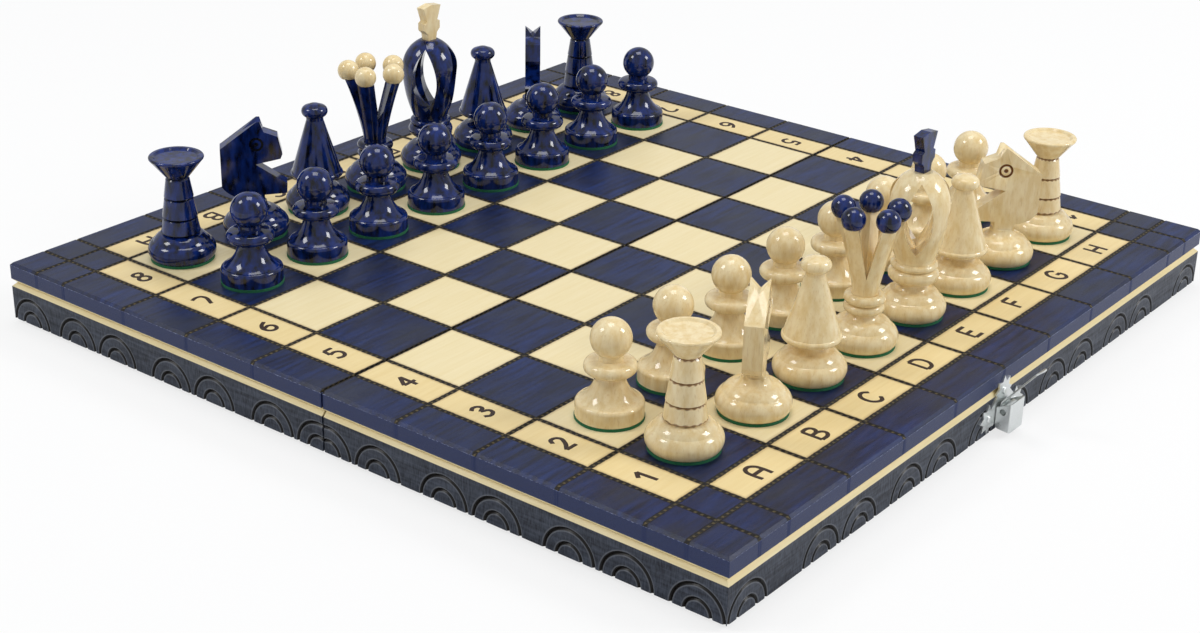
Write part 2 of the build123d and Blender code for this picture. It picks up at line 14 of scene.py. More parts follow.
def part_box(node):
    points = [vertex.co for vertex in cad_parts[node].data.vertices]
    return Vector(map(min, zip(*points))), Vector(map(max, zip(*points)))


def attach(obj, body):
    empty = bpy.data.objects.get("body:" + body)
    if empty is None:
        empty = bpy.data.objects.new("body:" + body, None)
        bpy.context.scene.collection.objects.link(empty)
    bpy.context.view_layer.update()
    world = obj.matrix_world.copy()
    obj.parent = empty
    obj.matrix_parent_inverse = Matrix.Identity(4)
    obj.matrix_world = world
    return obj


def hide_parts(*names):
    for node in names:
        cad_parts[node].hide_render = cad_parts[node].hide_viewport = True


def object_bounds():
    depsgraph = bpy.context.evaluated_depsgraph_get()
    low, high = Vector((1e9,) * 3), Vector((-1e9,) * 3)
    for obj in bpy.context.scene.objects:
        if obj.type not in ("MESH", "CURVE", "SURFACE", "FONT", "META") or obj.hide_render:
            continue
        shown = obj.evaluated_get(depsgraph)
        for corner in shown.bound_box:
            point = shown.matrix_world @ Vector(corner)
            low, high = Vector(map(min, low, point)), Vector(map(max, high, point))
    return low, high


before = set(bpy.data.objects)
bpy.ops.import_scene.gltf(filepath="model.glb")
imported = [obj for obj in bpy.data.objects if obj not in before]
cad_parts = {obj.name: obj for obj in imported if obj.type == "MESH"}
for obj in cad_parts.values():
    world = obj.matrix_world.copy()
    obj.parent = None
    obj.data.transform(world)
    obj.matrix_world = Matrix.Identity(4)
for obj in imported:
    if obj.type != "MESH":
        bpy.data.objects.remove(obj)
cad_low, cad_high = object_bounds()

# ---------------------------------------------------------------- sizes, in millimetres
MM = 0.001
board_low, board_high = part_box("white_playing_board")
half_span = board_high.x / MM
top = board_high.z / MM
board_under = board_low.z / MM
label_strip = 14.5
border = 14.5
square = (half_span - label_strip - border) / 4
squares_edge = 4 * square
strip_edge = squares_edge + label_strip
strip_middle = squares_edge + label_strip / 2
board_middle = 3.5  # in squares, from the middle of file a or rank 1

# A reach is a pair: a mark is full up to the first distance and gone at the second.
line_half = 0.85
line_char_reach = (line_half + 0.15, line_half + 0.4)
line_scorch_reach = (line_half + 0.2, line_half + 1.3)
line_raggedness = 0.5
rope_pitch = 2.3
rope_core_reach = (0.3, 0.55)
twist_band = (0.1, 0.7)

stripe_half = 1.45
bevel_start = top - 0.95
# Reach of the pale arris line, which is part wear and part painted highlight
arris_wear_and_highlight_reach = (0.45, 0.62)
stain_line_half = 0.05

arch_radii = (9.2, 4.6)
arch_pitch = 48.5
arch_offset = 10.5
arch_first_from_fold = 12.8
arch_corner = half_span - 10.0
arch_half = 0.62
arch_char_reach = (arch_half - 0.12, arch_half + 0.05)
# The next reach is for the painted highlight along the rim of each arch groove
arch_rim_highlight_reach = (arch_half + 0.15, arch_half + 0.5)
stain_reach = (1.0, 1.1)
rim_stain_reach = (0.1, 0.3)

felt_top = top + 1.01
eye_across, eye_up, eye_radius = 1.4, 35.0, 2.15
eye_ring_reach = (0.35, 0.5)
eye_dot_reach = (0.7, 0.9)
rook_rings = (10.4, 15.8, 23.1, 30.6)
ring_dots = 18.0
dot_bite = 0.14
ring_char_reach = (0.22, 0.5)

glyph_height = 7.4
stroke_width = 1.45
stroke_proud = 0.12

# ---------------------------------------------------------------- materials
# Sockets of a Mix node: its factor, two colours, two numbers
FACTOR = 0
UNDER, OVER = 6, 7
NUMBER_UNDER, NUMBER_OVER = 2, 3

# What a Map Range goes from and to
FALL = (1.0, 0.0)
RISE = (0.0, 1.0)

# Parts of a noise, or of a sum or product of two, that a pattern is spread over
noise_band = (0.34, 0.66)
# The next band spreads the grey painted sheen over the blue stain
painted_sheen_band = (0.22, 0.42)
sanding_band = (0.75, 1.25)
spine_fleck_band = (0.3, 0.4)
man_fleck_band = (0.3, 0.42)
rough_band = (0.3, 0.7)

# How much of its colour each mark lays over the wood
scorch_share = 0.45
cloud_share = 0.55
# The next share is how much grey painted sheen lies over the blue stain
painted_sheen_share = 0.45
# The next share is how much painted highlight lies on a groove's rim
rim_highlight_share = 0.5
fleck_share = 0.22
ring_share = 0.8

# Roughness: satin lacquer, stain wiped thin, gloss lacquer on the men, felt, nickel
satin_rough = (0.27, 0.42)
wiped_rough = (0.45, 0.33)
gloss_rough = 0.09
felt_rough = 0.95
nickel_rough = (0.28, 0.42)
char_roughens = 0.25

# Relief, as shares of a material's depth
rope_relief = 1.5
man_grain_relief = 0.04


def paint(hex_colour):
    """An sRGB hex colour as linear RGBA."""
    parts = [int(hex_colour[i : i + 2], 16) / 255 for i in (1, 3, 5)]
    return [c / 12.92 if c <= 0.04045 else ((c + 0.055) / 1.055) ** 2.4 for c in parts] + [1.0]


def put(material, kind, inputs=(), **settings):
    """Add a node, set it, feed its inputs with values or outputs; returns its first live output."""
    tree = material.node_tree
    node = tree.nodes.new("ShaderNode" + kind)
    for name, value in settings.items():
        setattr(node, name, value)
    feeds = inputs.items() if isinstance(inputs, dict) else enumerate(inputs)
    for key, value in feeds:
        if isinstance(value, bpy.types.NodeSocket):
            tree.links.new(value, node.inputs[key])
        else:
            node.inputs[key].default_value = value
    return next((output for output in node.outputs if output.enabled), None)


def start(name):
    """An empty material, and its Object coordinates in millimetres."""
    material = bpy.data.materials.new(name)
    material.use_nodes = True
    material.node_tree.nodes.clear()
    place = put(material, "TexCoord").node.outputs["Object"]
    return material, put(material, "VectorMath", (place, (1 / MM,) * 3), operation="MULTIPLY")


def streaks(material, mm, stretch, detail):
    """Grain as noise: stretch gives its frequency per millimetre along x, y and z."""
    scaled = put(material, "VectorMath", (mm, stretch), operation="MULTIPLY")
    return put(material, "TexNoise", {"Vector": scaled, "Scale": 1.0, "Detail": detail})


def close(material, colour, roughness, height, depth, **shader):
    """Finish a material with one Principled shader and its relief, depth millimetres deep."""
    inputs = {"Base Color": colour, "Roughness": roughness}
    inputs.update({name.replace("_", " "): value for name, value in shader.items()})
    relief = {"Strength": 1.0, "Distance": depth * MM, "Height": height}
    inputs["Normal"] = put(material, "Bump", relief)
    surface = put(material, "BsdfPrincipled", inputs)
    put(material, "OutputMaterial", {"Surface": surface})
    return material


def stained_board():
    """Birch board face, spirit-stained blue round bare squares, with burned rope lines.

    The stain is thin and lacquered satin, with greyer streaks of painted sheen laid into
    its colour; the lines are pressed in hot, so they are near black with brown twists.
    """
    board, mm = start("stained_lacquered_birch_board")
    x, y, z = put(board, "SeparateXYZ", (mm,)).node.outputs

    # Squares, label strips and the border round them
    cells = []
    inside = []
    within_strips = []
    to_lines = []
    for along in (x, y):
        counted = put(board, "Math", (along, square), operation="DIVIDE")
        cells.append(put(board, "Math", (counted,), operation="FLOOR"))
        away = put(board, "Math", (along,), operation="ABSOLUTE")
        inside.append(put(board, "Math", (away, squares_edge), operation="LESS_THAN"))
        within_strips.append(put(board, "Math", (away, strip_edge), operation="LESS_THAN"))
        to_lattice = put(board, "Math", (away, square / 2), operation="PINGPONG")
        past_strip = put(board, "Math", (away, strip_edge), operation="SUBTRACT")
        to_strip = put(board, "Math", (past_strip,), operation="ABSOLUTE")
        to_lines.append(put(board, "Math", (to_lattice, to_strip), operation="MINIMUM"))
    both = put(board, "Math", cells, operation="ADD")
    odd = put(board, "Math", (both, 2.0), operation="FLOORED_MODULO")
    in_squares = put(board, "Math", inside, operation="MULTIPLY")
    bare_square = put(board, "Math", (odd, in_squares), operation="MULTIPLY")
    side_strips = put(board, "Math", (within_strips[0], inside[1]), operation="MULTIPLY")
    end_strips = put(board, "Math", (within_strips[1], inside[0]), operation="MULTIPLY")
    four_strips = put(board, "Math", (side_strips, end_strips), operation="ADD")
    strip = put(board, "Math", (in_squares, -2.0, four_strips), operation="MULTIPLY_ADD")

    # Burned lines with ragged, scorched edges, and the twists of their rope
    to_line = put(board, "Math", to_lines, operation="MINIMUM")
    wobble = streaks(board, mm, (0.9, 0.9, 0.9), detail=2.0)
    ragged = put(board, "Math", (wobble, line_raggedness, to_line), operation="MULTIPLY_ADD")
    burn = put(board, "MapRange", (ragged, *line_char_reach, *FALL))
    scorch = put(board, "MapRange", (ragged, *line_scorch_reach, *FALL))
    scorched = put(board, "Math", (scorch, scorch_share), operation="MULTIPLY")
    diagonal = put(board, "Math", (x, y), operation="ADD")
    turns = put(board, "Math", (diagonal, 2 * pi / rope_pitch), operation="MULTIPLY")
    twist = put(board, "Math", (turns,), operation="SINE")
    strands = put(board, "MapRange", (twist, *twist_band, *RISE))
    core = put(board, "MapRange", (to_line, *rope_core_reach, *FALL))
    rope = put(board, "Math", (strands, core), operation="MULTIPLY")

    # Growth lines about 1 mm apart, pores under 0.2 mm apart, and clouds of stain 20 to 30 mm wide
    grain = streaks(board, mm, (0.05, 0.9, 0.9), detail=5.0)
    pores = streaks(board, mm, (0.5, 6.0, 6.0), detail=3.0)
    cloud = streaks(board, mm, (0.035, 0.05, 0.05), detail=2.0)
    flames = streaks(board, mm, (0.06, 0.5, 0.5), detail=6.0)

    # Blue stain: flamed, darker in the clouds, and greyer in patches over the pores as painted sheen
    flamed = put(board, "MapRange", (flames, *noise_band, *RISE))
    blue = {FACTOR: flamed, UNDER: paint("#0A1230"), OVER: paint("#182C60")}
    blue = put(board, "Mix", blue, data_type="RGBA")
    clouded = put(board, "MapRange", (cloud, *noise_band, *RISE))
    clouded = put(board, "Math", (clouded, cloud_share), operation="MULTIPLY")
    blue = put(board, "Mix", {FACTOR: clouded, UNDER: blue, OVER: paint("#0C1126")}, data_type="RGBA")
    # Painted sheen: grey patches over the pores, standing in for the lacquer's reflection
    patchy = put(board, "Math", (cloud, pores), operation="MULTIPLY")
    painted_sheen = put(board, "MapRange", (patchy, *painted_sheen_band, *RISE))
    painted_sheen = put(board, "Math", (painted_sheen, painted_sheen_share), operation="MULTIPLY")
    blue = put(board, "Mix", {FACTOR: painted_sheen, UNDER: blue, OVER: paint("#3F434B")}, data_type="RGBA")

    # Bare birch of the squares and of the label strips, scorched beside the lines
    bares = []
    for shades in (("#E9D6A0", "#F5E7C0"), ("#E6CC8E", "#F3DFAC")):
        cream = {FACTOR: grain, UNDER: paint(shades[0]), OVER: paint(shades[1])}
        cream = put(board, "Mix", cream, data_type="RGBA")
        cream = {FACTOR: scorched, UNDER: cream, OVER: paint("#8A6234")}
        bares.append(put(board, "Mix", cream, data_type="RGBA"))
    face = put(board, "Mix", {FACTOR: bare_square, UNDER: blue, OVER: bares[0]}, data_type="RGBA")
    face = put(board, "Mix", {FACTOR: strip, UNDER: face, OVER: bares[1]}, data_type="RGBA")
    char = {FACTOR: rope, UNDER: paint("#120E0B"), OVER: paint("#5C5136")}
    char = put(board, "Mix", char, data_type="RGBA")
    face = put(board, "Mix", {FACTOR: burn, UNDER: face, OVER: char}, data_type="RGBA")

    # Edges of the board: stained, pale along the arris as wear and painted highlight, and bare at the
    # stripe and below
    edge = {FACTOR: pores, UNDER: paint("#0F1838"), OVER: paint("#2C3A68")}
    edge = put(board, "Mix", edge, data_type="RGBA")
    # Pale line along the arris: partly wear, partly a painted highlight where the edge catches the light
    wear_and_glint_noise = streaks(board, mm, (1.2, 1.2, 0.6), detail=4.0)
    above_arris = put(board, "Math", (z, bevel_start), operation="SUBTRACT")
    from_arris = put(board, "Math", (above_arris,), operation="ABSOLUTE")
    worn_and_highlit = put(board, "Math", (from_arris, wear_and_glint_noise), operation="ADD")
    worn_and_highlit = put(board, "MapRange", (worn_and_highlit, *arris_wear_and_highlight_reach, *FALL))
    edge = put(board, "Mix", {FACTOR: worn_and_highlit, UNDER: edge, OVER: paint("#8C97BC")}, data_type="RGBA")
    is_face = put(board, "Math", (z, bevel_start), operation="GREATER_THAN")
    colour = put(board, "Mix", {FACTOR: is_face, UNDER: edge, OVER: face}, data_type="RGBA")
    stripe_top = board_under + stripe_half
    stain_line = (stripe_top - stain_line_half, stripe_top + stain_line_half)
    is_bare = put(board, "MapRange", (z, *stain_line, *FALL))
    birch = {FACTOR: grain, UNDER: paint("#E3D09A"), OVER: paint("#F3E6BE")}
    birch = put(board, "Mix", birch, data_type="RGBA")
    colour = put(board, "Mix", {FACTOR: is_bare, UNDER: colour, OVER: birch}, data_type="RGBA")

    rough = put(board, "MapRange", (pores, *rough_band, *satin_rough))
    rough = put(board, "Math", (burn, char_roughens, rough), operation="MULTIPLY_ADD")
    height = put(board, "Math", (rope, rope_relief, pores), operation="MULTIPLY_ADD")
    return close(board, colour, rough, height, depth=0.06, IOR=1.45, Specular_IOR_Level=0.35)


def stained_rail(name, long_side):
    """Solid beech rail: grey-blue stain wiped thin outside, burned arches, bare wood inside.

    Sanding through the stain leaves short streaks across the rail; the pale lip along
    each burned groove is a painted highlight of its rim.
    """
    rail, mm = start(name)
    x, y, z = put(rail, "SeparateXYZ", (mm,)).node.outputs
    along, out = (x, y) if long_side else (y, x)

    # Distance to the nearest arch: pairs at one pitch, and a last arch by the corner
    run = put(rail, "Math", (along,), operation="ABSOLUTE")
    first = 0.0 if long_side else arch_first_from_fold
    last_pair = 2 * arch_pitch + first + arch_pitch / 2
    from_first = put(rail, "Math", (run, first), operation="SUBTRACT")
    to_pair = put(rail, "Math", (from_first, arch_pitch / 2), operation="PINGPONG")
    in_pair = put(rail, "Math", (to_pair, arch_offset), operation="SUBTRACT")
    at_corner = put(rail, "Math", (run, last_pair), operation="GREATER_THAN")
    in_corner = put(rail, "Math", (run, arch_corner), operation="SUBTRACT")
    off_middle = {FACTOR: at_corner, NUMBER_UNDER: in_pair, NUMBER_OVER: in_corner}
    off_middle = put(rail, "Mix", off_middle, data_type="FLOAT")
    flat = put(rail, "CombineXYZ", (off_middle, z, 0.0))
    radius = put(rail, "VectorMath", (flat,), operation="LENGTH")
    gaps = []
    for arch_radius in arch_radii:
        gap = put(rail, "Math", (radius, arch_radius), operation="SUBTRACT")
        gaps.append(put(rail, "Math", (gap,), operation="ABSOLUTE"))
    to_arch = put(rail, "Math", gaps, operation="MINIMUM")
    burn = put(rail, "MapRange", (to_arch, *arch_char_reach, *FALL))
    # Painted highlight: a pale lip along the rim of each groove
    rim_highlight = put(rail, "MapRange", (to_arch, *arch_rim_highlight_reach, *FALL))
    rim_highlight = put(rail, "Math", (rim_highlight, rim_highlight_share), operation="MULTIPLY")

    # Stain: sanding marks across the rail over growth lines along it
    sanding = (2.2, 0.5, 0.45) if long_side else (0.5, 2.2, 0.45)
    lengthwise = (0.05, 0.8, 0.8) if long_side else (0.8, 0.05, 0.8)
    sanded = streaks(rail, mm, sanding, detail=4.0)
    grain = streaks(rail, mm, lengthwise, detail=4.0)
    mixed = put(rail, "Math", (sanded, grain), operation="ADD")
    spread = put(rail, "MapRange", (mixed, *sanding_band, *RISE))
    stain = {FACTOR: spread, UNDER: paint("#141925"), OVER: paint("#3F4654")}
    stain = put(rail, "Mix", stain, data_type="RGBA")
    stain = put(rail, "Mix", {FACTOR: rim_highlight, UNDER: stain, OVER: paint("#777B82")}, data_type="RGBA")
    stain = put(rail, "Mix", {FACTOR: burn, UNDER: stain, OVER: paint("#14110F")}, data_type="RGBA")

    # Stained are the outside, the faces that meet at the fold and the rims, up to the stripe
    out_by = put(rail, "Math", (out,), operation="ABSOLUTE")
    depth = put(rail, "Math", (half_span, out_by), operation="SUBTRACT")
    is_outer = put(rail, "MapRange", (depth, *stain_reach, *FALL))
    if not long_side:
        at_fold = put(rail, "MapRange", (run, *stain_reach, *FALL))
        is_outer = put(rail, "Math", (is_outer, at_fold), operation="MAXIMUM")
    is_rim = put(rail, "MapRange", (z, *rim_stain_reach, *FALL))
    is_stained = put(rail, "Math", (is_outer, is_rim), operation="MAXIMUM")
    stripe_low = board_under - stripe_half
    stain_line = (stripe_low - stain_line_half, stripe_low + stain_line_half)
    under_stripe = put(rail, "MapRange", (z, *stain_line, *FALL))
    is_stained = put(rail, "Math", (is_stained, under_stripe), operation="MULTIPLY")
    bare = {FACTOR: grain, UNDER: paint("#E3D09A"), OVER: paint("#F3E6BE")}
    bare = put(rail, "Mix", bare, data_type="RGBA")
    colour = put(rail, "Mix", {FACTOR: is_stained, UNDER: bare, OVER: stain}, data_type="RGBA")
    rough = put(rail, "MapRange", (spread, *RISE, *wiped_rough))
    return close(rail, colour, rough, mixed, depth=0.05, IOR=1.45, Specular_IOR_Level=0.35)


def spine_beech():
    """Planed beech of the rails along the fold: pale, dull, flecked, stained on the fold face."""
    spine, mm = start("planed_beech")
    y = put(spine, "SeparateXYZ", (mm,)).node.outputs["Y"]
    grain = streaks(spine, mm, (0.05, 0.8, 0.8), detail=5.0)
    flecks = streaks(spine, mm, (0.4, 3.0, 3.0), detail=2.0)
    colour = {FACTOR: grain, UNDER: paint("#DDC694"), OVER: paint("#EFDFB4")}
    colour = put(spine, "Mix", colour, data_type="RGBA")
    flecked = put(spine, "MapRange", (flecks, *spine_fleck_band, *FALL))
    colour = {FACTOR: flecked, UNDER: colour, OVER: paint("#CFAE78")}
    colour = put(spine, "Mix", colour, data_type="RGBA")
    wiped = put(spine, "MapRange", (grain, *noise_band, *RISE))
    stain = {FACTOR: wiped, UNDER: paint("#141925"), OVER: paint("#3F4654")}
    stain = put(spine, "Mix", stain, data_type="RGBA")
    from_fold = put(spine, "Math", (y,), operation="ABSOLUTE")
    at_fold = put(spine, "MapRange", (from_fold, *stain_reach, *FALL))
    colour = put(spine, "Mix", {FACTOR: at_fold, UNDER: colour, OVER: stain}, data_type="RGBA")
    return close(spine, colour, roughness=0.5, height=flecks, depth=0.05, IOR=1.5)


def turned_wood(opened, shades, burn_colour, burn=None):
    """A lacquered turned man on its felt: shades are its dark grain, light grain and flecks."""
    man, mm = opened
    z = put(man, "SeparateXYZ", (mm,)).node.outputs["Z"]
    grain = streaks(man, mm, (0.35, 0.35, 0.04), detail=5.0)
    ticks = streaks(man, mm, (2.4, 2.4, 0.3), detail=2.0)
    mottle = streaks(man, mm, (0.45, 0.45, 0.16), detail=5.0)
    mottled = put(man, "MapRange", (mottle, *noise_band, *RISE))
    wood = {FACTOR: mottled, UNDER: paint(shades[0]), OVER: paint(shades[1])}
    wood = put(man, "Mix", wood, data_type="RGBA")
    flecks = put(man, "MapRange", (ticks, *man_fleck_band, *FALL))
    flecks = put(man, "Math", (flecks, fleck_share), operation="MULTIPLY")
    wood = put(man, "Mix", {FACTOR: flecks, UNDER: wood, OVER: paint(shades[2])}, data_type="RGBA")
    if burn is not None:
        wood = put(man, "Mix", {FACTOR: burn, UNDER: wood, OVER: paint(burn_colour)}, data_type="RGBA")

    # Pressed wool felt under the foot: matt, with fibres that break up its edge
    fibres = streaks(man, mm, (3.0, 3.0, 3.0), detail=4.0)
    felt = {FACTOR: fibres, UNDER: paint("#04301F"), OVER: paint("#2F8A5C")}
    felt = put(man, "Mix", felt, data_type="RGBA")
    is_felt = put(man, "Math", (z, felt_top), operation="LESS_THAN")
    colour = put(man, "Mix", {FACTOR: is_felt, UNDER: wood, OVER: felt}, data_type="RGBA")
    rough = {FACTOR: is_felt, NUMBER_UNDER: gloss_rough, NUMBER_OVER: felt_rough}
    rough = put(man, "Mix", rough, data_type="FLOAT")
    faint_grain = put(man, "Math", (grain, man_grain_relief), operation="MULTIPLY")
    relief = {FACTOR: is_felt, NUMBER_UNDER: faint_grain, NUMBER_OVER: fibres}
    relief = put(man, "Mix", relief, data_type="FLOAT")
    return close(man, colour, rough, relief, depth=0.25, IOR=1.5)


natural_shades = ("#E9CF98", "#F6E4B8", "#BF9154")
blue_shades = ("#02040F", "#112C74", "#010208")
brown_burn = "#7A4A20"
black_burn = "#07070C"


def ring_burn(opened):
    """Rows of burned dots in the grooves of a rook's stem."""
    rook, mm = opened
    x, y, z = put(rook, "SeparateXYZ", (mm,)).node.outputs
    across = []
    for axis in (x, y):
        wrapped = put(rook, "Math", (axis, square), operation="FLOORED_MODULO")
        across.append(put(rook, "Math", (wrapped, square / 2), operation="SUBTRACT"))
    angle = put(rook, "Math", across, operation="ARCTAN2")
    beats = put(rook, "Math", (angle, ring_dots), operation="MULTIPLY")
    dots = put(rook, "Math", (beats,), operation="SINE")
    gaps = []
    for ring in rook_rings:
        gap = put(rook, "Math", (z, top + ring), operation="SUBTRACT")
        gaps.append(put(rook, "Math", (gap,), operation="ABSOLUTE"))
    nearest = gaps[0]
    for gap in gaps[1:]:
        nearest = put(rook, "Math", (nearest, gap), operation="MINIMUM")
    notched = put(rook, "Math", (dots, dot_bite, nearest), operation="MULTIPLY_ADD")
    rings = put(rook, "MapRange", (notched, *ring_char_reach, *FALL))
    return put(rook, "Math", (rings, ring_share), operation="MULTIPLY")


def eye_burn(opened, centre, turn):
    """The burned ring and dot of a knight's eye, on both of its flat cheeks."""
    knight, mm = opened
    origin = put(knight, "VectorMath", (mm, (*centre, top)), operation="SUBTRACT")
    unturned = {"Vector": origin, "Angle": -radians(turn)}
    unturned = put(knight, "VectorRotate", unturned, rotation_type="Z_AXIS")
    cheek = put(knight, "SeparateXYZ", (unturned,)).node.outputs
    flat = put(knight, "CombineXYZ", (cheek["X"], cheek["Z"], 0.0))
    away = put(knight, "VectorMath", (flat, (eye_across, eye_up, 0.0)), operation="SUBTRACT")
    radius = put(knight, "VectorMath", (away,), operation="LENGTH")
    past_ring = put(knight, "Math", (radius, eye_radius), operation="SUBTRACT")
    to_ring = put(knight, "Math", (past_ring,), operation="ABSOLUTE")
    ring = put(knight, "MapRange", (to_ring, *eye_ring_reach, *FALL))
    dot = put(knight, "MapRange", (radius, *eye_dot_reach, *FALL))
    return put(knight, "Math", (ring, dot), operation="MAXIMUM")


def bright_nickel():
    """Nickel plate on pressed steel: bright, with the faint waves of thin sheet."""
    metal, mm = start("nickel_plated_steel")
    waves = streaks(metal, mm, (0.5, 0.5, 0.5), detail=2.0)
    scuffs = streaks(metal, mm, (2.0, 2.0, 8.0), detail=3.0)
    colour = {FACTOR: scuffs, UNDER: paint("#D2D6D6"), OVER: paint("#F0F3F2")}
    colour = put(metal, "Mix", colour, data_type="RGBA")
    rough = put(metal, "MapRange", (scuffs, *rough_band, *nickel_rough))
    return close(metal, colour, rough, waves, depth=0.08, Metallic=1.0)


def charred_strokes():
    """Wood burned with a hot wire: matt brown-black, a little uneven along the stroke."""
    char, mm = start("charred_wood")
    uneven = streaks(char, mm, (0.9, 0.9, 0.9), detail=3.0)
    colour = {FACTOR: uneven, UNDER: paint("#150B06"), OVER: paint("#3A2112")}
    colour = put(char, "Mix", colour, data_type="RGBA")
    return close(char, colour, roughness=0.6, height=uneven, depth=0.05, IOR=1.5)


# ---------------------------------------------------------------- dress the CAD nodes
# Degrees about each knight's own upright axis
cad_knight_turns = {
    "white_knight_b": 180,
    "white_knight_g": 90,
    "blue_knight_b": -42,
    "blue_knight_g": 220,
}
seen_knight_turns = {"white_knight_b": 28, "white_knight_g": 130}
knight_turns = {**cad_knight_turns, **seen_knight_turns}
smooth_angle = 30
weld_gap = 0.001 * MM


def knight_centre(node):
    """The middle of a knight's square, in millimetres."""
    rank = -board_middle if node.startswith("white") else board_middle
    return ("abcdefgh".index(node[-1]) - board_middle) * square, rank * square


def men_materials():
    """Finish for every man's node, by name; trims take the other side's colour."""
    woods = {"white": (natural_shades, brown_burn), "blue": (blue_shades, black_burn)}
    titles = {"white": "lacquered_natural_beech", "blue": "lacquered_blue_stained_beech"}
    other = {"white": "blue", "blue": "white"}
    plain = {side: turned_wood(start(titles[side]), *woods[side]) for side in woods}
    ringed = {}
    for side in woods:
        opened = start(titles[side] + "_burned_rings")
        ringed[side] = turned_wood(opened, *woods[side], ring_burn(opened))
    made = {}
    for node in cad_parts:
        side, _, kind = node.partition("_")
        if side not in woods or "rail" in kind or "board" in kind:
            continue
        if kind in ("queen_balls", "king_cross"):
            made[node] = plain[other[side]]
        elif kind.startswith("rook"):
            made[node] = ringed[side]
        elif kind.startswith("knight"):
            opened = start(titles[side] + "_burned_eye_" + kind[-1])
            eye = eye_burn(opened, knight_centre(node), knight_turns[node])
            made[node] = turned_wood(opened, *woods[side], eye)
        else:
            made[node] = plain[side]
    return made


def dress_nodes():
    """Give each CAD node its finish through its material slots."""
    board = stained_board()
    long_rail = stained_rail("wiped_stain_on_beech_long", True)
    side_rail = stained_rail("wiped_stain_on_beech_side", False)
    spine = spine_beech()
    nickel = bright_nickel()
    men = men_materials()
    for node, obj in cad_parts.items():
        if "playing_board" in node:
            finish = board
        elif "outer_rail" in node:
            finish = long_rail
        elif "side_rail" in node:
            finish = side_rail
        elif "spine_rail" in node:
            finish = spine
        else:
            finish = men.get(node, nickel)
        if not obj.material_slots:
            obj.data.materials.append(finish)
        for material_slot in obj.material_slots:
            material_slot.material = finish


def turn_knights():
    """Stand a turned copy in for each knight that the photograph shows turned otherwise."""
    for node, turn in seen_knight_turns.items():
        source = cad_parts[node]
        knight = bpy.data.objects.new(node + "_as_set", source.data.copy())
        bpy.context.collection.objects.link(knight)
        bpy.ops.object.select_all(action="DESELECT")
        knight.select_set(True)
        bpy.context.view_layer.objects.active = knight
        bpy.ops.object.mode_set(mode="EDIT")
        bpy.ops.mesh.select_all(action="SELECT")
        bpy.ops.mesh.remove_doubles(threshold=weld_gap)
        bpy.ops.object.mode_set(mode="OBJECT")
        pivot = Matrix.Translation([middle * MM for middle in (*knight_centre(node), 0)])
        spin = Matrix.Rotation(radians(turn - cad_knight_turns[node]), 4, "Z")
        knight.data.transform(pivot @ spin @ pivot.inverted())
        bpy.ops.object.shade_smooth_by_angle(angle=radians(smooth_angle))
        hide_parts(node)
        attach(knight, node)


